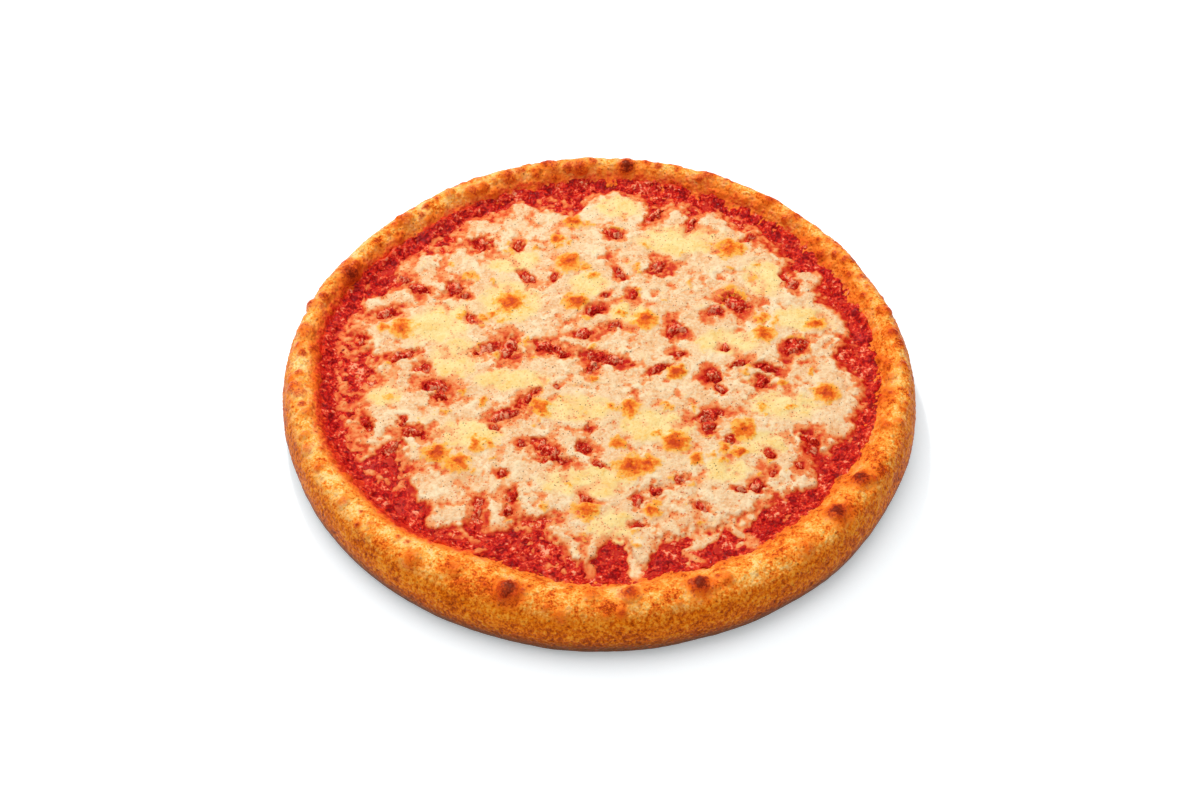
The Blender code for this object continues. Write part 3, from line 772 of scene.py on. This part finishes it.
ragged_x, ragged_y = warp_x + 0.0018 * rolling_at(0.0036, 47), warp_y + 0.0018 * rolling_at(0.0036, 48)
draw = np.random.default_rng(49)
small_toasted = []
for _ in range(SMALL_TOASTED):
    spot = unit(draw.uniform(0, 360)) * TOASTED_AREA * math.sqrt(draw.uniform())
    small_toasted.append((spot.x, spot.y, draw.uniform(0.0018, 0.0036)))
for middle_x, middle_y, width in TOASTED + small_toasted:
    share = oval_share((middle_x, middle_y, 1.25 * width, 1.25 * width, 0), ragged_x, ragged_y)
    toast = np.maximum(toast, np.clip(1.7 - share, 0, 1.7) / 1.25 * min(1.0, width / 0.0055))
print("share of the plan in a window:", (window > 0.34).mean().round(3))

# %% [markdown]
# The cheese went on as shreds about 3 mm wide. Where they only half melted they still show as low ridges that
# lie every way. Modelled shreds would have to be fused to the sheet, so a seeded rule lays a few hundred
# short, slightly bent ridges over the plan instead.

# %% Ridges of half-melted shreds
SHREDS = 420
SHRED_AREA = 0.125
ridge = np.zeros(R.shape)
draw = np.random.default_rng(58)
for _ in range(SHREDS):
    distance, angle = SHRED_AREA * math.sqrt(draw.uniform()), draw.uniform(0, 360)
    direction = draw.uniform(0, 180)
    length, half_width = draw.uniform(0.005, 0.010), draw.uniform(0.0015, 0.0022)
    bend, strength = draw.uniform(-45, 45), draw.uniform(0.5, 1.0)
    middle, along = unit(angle) * distance, unit(direction)
    reach = length / 2 + 2 * half_width
    near_x, near_y = (slice(*np.searchsorted(axis, (value - reach, value + reach))) for value in middle)
    apart_x, apart_y = warp_x[near_x, near_y] - middle.x, warp_y[near_x, near_y] - middle.y
    forth, across = apart_x * along.x + apart_y * along.y, apart_y * along.x - apart_x * along.y
    across = across + bend * forth ** 2
    past_end = np.clip(np.abs(forth) - length / 2, 0, 1)
    round_top = np.clip(1 - (np.hypot(across, past_end) / half_width) ** 2, 0, 1)
    ridge[near_x, near_y] = np.maximum(ridge[near_x, near_y], strength * round_top)
print("share of the plan under a ridge:", (ridge > 0.1).mean().round(2))

# %% [markdown]
# Now every place of the plan gets its thickness of cheese. It is thick in the sheet, thins towards its
# outline and its windows, and goes below nothing where there is none, so that the sheet dips under the
# sauce and the line where they meet is clean. Scraps and tongues of thin cheese lie loose in the sauce near
# the edge. A second value, the shade, says how much of the sauce shines through.

# %% Thickness of the cheese
CHEESE_THICKNESS = 0.0023


def taper(distance, reach):
    """Full at a distance inside, nothing at the edge, and below nothing outside."""
    return np.where(distance > 0, 1 - np.exp(-distance / reach), distance / reach)


beside_edge = np.exp(-np.clip(from_edge, 0, 1) / 0.006)
bubbly = 0.50 * rolling_at(0.0027, 51) + 0.35 * rolling_at(0.0015, 52) + 0.35 * rolling_at(0.0055, 53)
patchy = 0.55 * rolling_at(0.0105, 73) + 0.45 * rolling_at(0.0048, 74) + 0.55 * bubbly
opened = smoothstep(0.02, 1.02, 1.30 * window + 1.45 * bubbly * np.sqrt(window))
wearing = patchy - 0.2 * ridge + 1.7 * halo ** 1.3 + 0.35 * beside_edge
worn = smoothstep(-0.14, 0.76, wearing) * (1 - 0.6 * pool)
lump, lump_number = pebbles(warp_x / 0.0034, warp_y / 0.0034, 54)
nodule = np.clip(1 - (lump / 0.65) ** 2, 0, 1) * (0.3 + 0.7 * lump_number)
swelling = 0.20 * rolling_at(0.020, 55) + 0.18 * rolling_at(0.007, 56)
crumbly = (0.10 + 0.28 * beside_edge) * nodule + (0.08 + 0.16 * beside_edge) * ridge
crumbly += 0.09 * rolling_at(0.0024, 57)
body = 1 + swelling + crumbly * (1 - 0.7 * pool)
covered = taper(from_edge + 0.0016 * bubbly, 0.0026)
red_band = np.interp(A, (0, 255, 278, 302, 325, 360), (0.0052, 0.0056, 0.0015, 0.0015, 0.0048, 0.0052))
to_ring = at(A, sauce_edge) - red_band - R + 0.0030 * rolling_at(0.009, 75)
near_front = smoothstep(268, 282, A) * (1 - smoothstep(300, 318, A))
broken = 0.50 * rolling_at(0.0080, 71) + 0.45 * rolling_at(0.0034, 72) - 0.02 + 0.34 * near_front - 1.1 * bay
broken += 0.26 * np.exp(-np.clip(-from_edge, 0, 1) / 0.0035)
broken -= np.interp(A, (0, 25, 50, 140, 170, 200, 230, 300, 335, 360),
                    (0.4, 0.4, 0, 0, -0.10, -0.10, 0, 0, 0.3, 0.4))
scraps = smoothstep(-0.12, 0.38, broken) * (0.22 + 0.40 * nodule + 0.20 * rolling_at(0.0022, 76)) - 0.05
scraps = np.minimum(scraps, 0.45 * to_ring / 0.003) - 0.25 * np.clip(1.5 * window, 0, 1)
for *oval, strength in TONGUES:
    lobe = 1.15 - oval_share(oval, warp_x, warp_y)
    scraps = np.maximum(scraps, strength * (0.55 + 0.3 * nodule) * np.tanh(2.2 * lobe))
sheet = np.where(covered > 0, covered * body, covered) - 1.22 * opened
thickness = CHEESE_THICKNESS * np.maximum(sheet - 0.25 * worn * (sheet > 0.3), scraps)
thickness += 0.0008 * np.clip(toast, 0, 1) * (sheet > 0.5)
scrap_shade = scraps * (1.15 + 0.6 * near_front) + 0.04 + 0.16 * rolling_at(0.0021, 79)
shade = np.maximum(sheet - 0.80 * worn, scrap_shade)
print("thickest cheese, mm:", round(thickness.max() * 1000, 2))

# %% [markdown]
# Tomato sauce is a pulp: soft lumps two to four millimetres across with smaller ones on them. Under the
# cheese it is smooth, because nothing of it shows. At its outer edge it climbs the foot of the rim and thins
# out over it. Separate lumps would cut through each other, so all of them are part of one height.

# %% Heights of the sauce and the cheese
EDGE_FILM = 0.0012
BANK_RISE = 0.0043
BANK_WIDTH = 0.008
rim_noise = 0.0018 * rolling_at(0.009, 61) + 0.0010 * rolling_at(0.0032, 62)
from_rim = at(A, sauce_edge + SAUCE_OVERLAP) - R + rim_noise
bank = np.clip(1 - from_rim / BANK_WIDTH, 0, 1)
level = SAUCE_HEIGHT + 0.0004 * rolling_at(0.012, 63) + BANK_RISE * bank ** 1.5
big_pulp, pulp_number = pebbles(warp_x / 0.0036, warp_y / 0.0036, 64)
small_pulp, _ = pebbles(warp_x / 0.0018, warp_y / 0.0018, 65)
pulp = np.clip(1 - (big_pulp / 0.75) ** 2, 0, 1) * (0.35 + 0.65 * pulp_number)
seeds = np.clip(1 - (small_pulp / 0.7) ** 2, 0, 1)
lumpy = 0.0011 * pulp + 0.0005 * seeds + 0.0008 * rolling_at(0.0055, 66) + 0.00035 * rolling_at(0.0017, 67)
lumpy += 0.0029 * np.clip(1.6 * window, 0, 1) * smoothstep(0.002, 0.006, from_edge)
bare = 1 - smoothstep(-0.0002, 0.0011, thickness)
thinned = level + np.minimum(EDGE_FILM * (taper(from_rim, 0.0016) - 1), 0)
sauce_top = np.where(from_rim > 0.004, level, thinned)
sauce_top += lumpy * bare * np.clip(from_rim / 0.002 + 0.6, 0, 1)
cheese_top = level + 0.0004 * bare + thickness
shown = sauce_top[from_rim > 0] * 1000
print("sauce, mm:", shown.min().round(1), "to", shown.max().round(1))

# %% [markdown]
# Each topping starts as a flat grid of the plan's size. Its points are lifted to their heights, the faces
# where there is none of it are deleted, and the open edges are extruded down and filled, which makes one
# closed body with real windows in it. A boolean would cut the same outline, but more slowly, and it would
# break the even grid.

# %% Cutting a topping out of the plan
SAUCE_BASE = FLOOR_HEIGHT + 0.001
CHEESE_BASE = FLOOR_HEIGHT + 0.0015


def without_pinches(kept):
    """Fills a face wherever two kept faces would touch only by a corner."""
    for _ in range(4):
        for a, b, c, d in (((0, 0), (1, 1), (0, 1), (1, 0)), ((0, 1), (1, 0), (0, 0), (1, 1))):
            part = [kept[i:kept.shape[0] - 1 + i, j:kept.shape[1] - 1 + j] for i, j in (a, b, c, d)]
            lonely = part[0] & part[1] & ~part[2] & ~part[3]
            part[2][lonely] = True
    return kept


def cut_topping(name, heights, there, base, values):
    """A closed body: the plan at these heights where it is there, with walls down to a flat base."""
    piece = grid_piece(name, *heights.shape, {"places": np.stack([X, Y, heights], axis=-1), **values})
    corners = there[:-1, :-1] | there[1:, :-1] | there[:-1, 1:] | there[1:, 1:]
    kept = without_pinches(corners.copy())
    centres = np.empty(3 * len(piece.data.polygons))
    piece.data.polygons.foreach_get("center", centres)
    cell = np.floor(centres.reshape(-1, 3)[:, :2] / CELL + SPAN).astype(int)
    select_only(piece)
    bpy.ops.object.mode_set(mode="EDIT")
    bpy.ops.mesh.select_mode(type="FACE")
    bpy.ops.mesh.select_all(action="DESELECT")
    bpy.ops.object.mode_set(mode="OBJECT")
    piece.data.polygons.foreach_set("select", ~kept[cell[:, 0], cell[:, 1]])
    bpy.ops.object.mode_set(mode="EDIT")
    bpy.ops.mesh.delete(type="FACE")
    bpy.ops.mesh.select_mode(type="EDGE")
    bpy.ops.mesh.select_all(action="DESELECT")
    bpy.ops.mesh.select_non_manifold(
        extend=False, use_wire=False, use_multi_face=False, use_non_contiguous=False, use_verts=False)
    bpy.ops.mesh.extrude_edges_move(TRANSFORM_OT_translate={"value": (0, 0, -0.001)})
    bpy.ops.transform.resize(value=(1, 1, 0), center_override=(0, 0, base))
    bpy.ops.mesh.fill(use_beauty=False)
    bpy.ops.mesh.select_all(action="SELECT")
    bpy.ops.mesh.normals_make_consistent(inside=False)
    bpy.ops.object.mode_set(mode="OBJECT")
    return piece


# The height of the lumps, and the windows, drive painted light and shade on the sauce: darker in the hollows,
# lighter on the tops and in the windows.
mound = 0.7 * pulp + 0.3 * seeds + 0.7 * np.clip(1.5 * window, 0, 1)
sauce = cut_topping("tomato_pulp", sauce_top, from_rim > -0.0010, SAUCE_BASE,
                    {"pulp": pulp_number, "mound": mound, "thin": bank})
cheese = cut_topping("melted_sheet", cheese_top, thickness > -0.0004, CHEESE_BASE,
                     {"thick": shade, "pool": pool, "toast": toast, "ridge": ridge})

# %% [markdown]
# Cooked tomato is a deep, slightly blue red, and wet all over. Its tint follows the height of the lumps: the
# hollows are painted darker as shade, and the lump tops and the sauce in the cheese's windows are painted
# lighter, orange-red up to pink painted highlights, partly the pulp's own colour. A low roughness and a small
# bump give the many little highlights, and a weak shine keeps the dark reds deep.

# %% The sauce's finish
wet, shader, start = new_material("tomato_sauce", Roughness=0.08,
                                  Specular_IOR_Level=0.16, Specular_Tint=srgb(255, 238, 228))
mottle = start.noise(0.0045, 3.0, 0.6)
fine_mottle = start.noise(0.0012, 3.0, 0.6, 1.0)
# Higher lumps and the windows get a lighter tint: painted highlight on the tops, painted shade in the
# hollows.
painted_lump_light = start.attribute("mound") * 0.50 + start.attribute("pulp") * 0.10
tone = painted_lump_light + (mottle - 0.5) * 2.0 + (fine_mottle - 0.5) * 2.1 + 0.12
red = start.node("ShaderNodeValToRGB", {"stops": [
    (0.06, srgb(136, 0, 4)), (0.28, srgb(182, 8, 10)), (0.54, srgb(218, 34, 20)), (0.80, srgb(242, 92, 54)),
    (0.98, srgb(254, 170, 130))]}, {"Fac": tone})
edge = start.attribute("thin") + (mottle - 0.5) * 0.8 + (fine_mottle - 0.5) * 0.5
feed(shader, start.mix(edge.step(0.72, 1.10) * 0.85, red, srgb(232, 66, 24)), "Base Color")
feed(shader, relief(start, fine_mottle, 0.0010, relief(start, mottle, 0.0012)), "Normal")
finish_piece(sauce, wet, "sauce", "sauce")

# %% [markdown]
# Melted mozzarella is cream, buttery and smooth where it pooled, and whiter and grainier where shreds only
# half melted. Where it is thin the sauce shines through it pink and then red, and where it bubbled it toasted
# orange. Light that scatters inside the cheese would show much the same, but tints chosen by the shade are
# steadier and quick to render.

# %% The cheese's finish
melt, shader, start = new_material("melted_cheese", Roughness=0.42,
                                   Specular_IOR_Level=0.16, Specular_Tint=srgb(255, 236, 200))
mottle = start.noise(0.006, 4.0, 0.6)
fine_mottle = start.noise(0.0014, 4.0, 0.66, 1.0)
pooled = (start.attribute("pool") + (mottle - 0.5) * 1.3 + (fine_mottle - 0.5) * 0.5).step(0.05, 0.80)
whiteness = (fine_mottle - 0.5) * 1.6 + start.attribute("ridge") * 0.3 + (mottle - 0.5) * 1.1 + 0.48
pale = start.mix(whiteness.step(0.1, 0.95), srgb(230, 172, 116), srgb(246, 224, 184))
butteriness = (mottle * 0.6 + fine_mottle * 0.4).step(0.35, 0.65)
butter = start.mix(butteriness, srgb(248, 226, 160), srgb(240, 199, 120))
cream = start.mix(pooled, pale, butter)
depth = start.attribute("thick") + (mottle - 0.5) * 0.45 + (fine_mottle - 0.5) * 0.45
under = start.node("ShaderNodeValToRGB", {"stops": [
    (0.0, srgb(190, 20, 12)), (0.12, srgb(212, 60, 26)), (0.25, srgb(226, 100, 46)),
    (0.42, srgb(234, 134, 74)), (0.60, srgb(236, 158, 98)), (0.80, srgb(236, 176, 120))]}, {"Fac": depth})
shine_through = start.mix(depth.step(0.55, 1.0), under, cream)
dots, dot_depth = start.grains(0.0016), start.attribute("thick") + (mottle - 0.5) * 1.0
pink = start.mix(dots.step(0.34, 0.18) * dot_depth.step(1.20, 0.60) * 0.9, shine_through, srgb(214, 78, 30))
toast_noise = (mottle - 0.5) * 1.0 + (fine_mottle - 0.5) * 1.3
toasting = start.attribute("toast") + toast_noise - depth.step(0.6, 0.2) * 0.7
amber = start.mix(toasting.step(0.12, 0.54) * 0.88, pink, srgb(246, 172, 44))
toasted = start.mix(toasting.step(0.46, 0.88), amber, srgb(232, 104, 6))
core = start.mix(toasting.step(0.88, 1.25), toasted, srgb(200, 60, 6))
pepper = start.grains(0.0026)
feed(shader, start.mix(pepper.step(0.13, 0.08) * 0.8, core, srgb(110, 52, 16)), "Base Color")
feed(shader, 0.36 - pooled * 0.10, "Roughness")
feed(shader, relief(start, fine_mottle, 0.0006, relief(start, mottle, 0.0009)), "Normal")
finish_piece(cheese, melt, "cheese", "cheese")

# %% [markdown]
# A few hundred flecks of dried herb and pepper lie in the cheese, half a millimetre to one long. Each is a
# small flattened ball, added in edit mode at its own place and turn, half sunk in the surface below it. A
# particle system would scatter them too, but real meshes are part of the model itself.

# %% Flecks
FLECKS = 620
FLECK_AREA = 0.118


def height_at(x, y):
    """The top of the toppings at a place in the plan."""
    column, row = round(x / CELL) + SPAN, round(y / CELL) + SPAN
    return max(cheese_top[column, row], sauce_top[column, row])


bpy.ops.object.select_all(action="DESELECT")
draw = np.random.default_rng(91)
bpy.ops.mesh.primitive_ico_sphere_add(subdivisions=1, radius=0.0003, location=(0, 0, height_at(0, 0)))
flecks = bpy.context.object
flecks.name = "herb_flecks"
bpy.ops.object.transform_apply(location=True, rotation=True, scale=True)
bpy.ops.object.mode_set(mode="EDIT")
for _ in range(FLECKS - 1):
    spot = unit(draw.uniform(0, 360)) * FLECK_AREA * math.sqrt(draw.uniform())
    length, tilt = draw.uniform(0.0005, 0.0012), draw.uniform(-0.3, 0.3, 2)
    bpy.ops.mesh.primitive_ico_sphere_add(
        subdivisions=1, radius=0.5, location=(spot.x, spot.y, height_at(spot.x, spot.y)),
        rotation=(tilt[0], tilt[1], draw.uniform(0, math.pi)),
        scale=(length, draw.uniform(0.0003, 0.0006), 0.0003))
bpy.ops.object.mode_set(mode="OBJECT")
herb, shader, start = new_material("dried_herb", Roughness=0.6, Specular_IOR_Level=0.2)
feed(shader, start.mix(start.noise(0.004).step(0.35, 0.65), srgb(58, 26, 8), srgb(128, 62, 18)), "Base Color")
finish_piece(flecks, herb, "cheese")

# %% [markdown]
# The floor is plain and pale. The main light is a large soft box above the pizza, a little to the left, and a
# small one behind it gives the sauce and the cheese their glints. A weak, even surround and a floor that
# glows a little keep the shade on the near wall of the crust as soft as the photograph shows it.

# %% Floor and light
bpy.ops.object.select_all(action="DESELECT")
bpy.ops.mesh.primitive_plane_add(size=8.0, location=(0, 0, 0))
floor = bpy.context.object
floor.name = "floor"
floor_material, shader, _ = new_material("pale_floor", Roughness=0.9)
shader.inputs["Base Color"].default_value = (0.84, 0.89, 0.91, 1.0)
shader.inputs["Emission Color"].default_value = (0.94, 0.98, 1.0, 1.0)
shader.inputs["Emission Strength"].default_value = 0.36
floor.data.materials.append(floor_material)


def soft_box(name, location, size, power):
    """A square area light that faces the pizza."""
    data = bpy.data.lights.new(name, "AREA")
    data.shape = "SQUARE"
    data.size = size
    data.energy = power
    lamp = bpy.data.objects.new(name, data)
    bpy.context.collection.objects.link(lamp)
    lamp.location = location
    lamp.rotation_euler = (-Vector(location)).to_track_quat("-Z", "Y").to_euler()


soft_box("overhead_light", (-0.22, 0.06, 1.29), 1.5, 15.2)
soft_box("glint_light", (-0.30, 0.95, 1.05), 0.12, 9.0)
world = bpy.data.worlds.new("surround")
world.use_nodes = True
world.node_tree.nodes["Background"].inputs["Color"].default_value = (1.0, 1.0, 1.0, 1.0)
world.node_tree.nodes["Background"].inputs["Strength"].default_value = 0.25
bpy.context.scene.world = world
bpy.context.scene.view_settings.view_transform = "Standard"
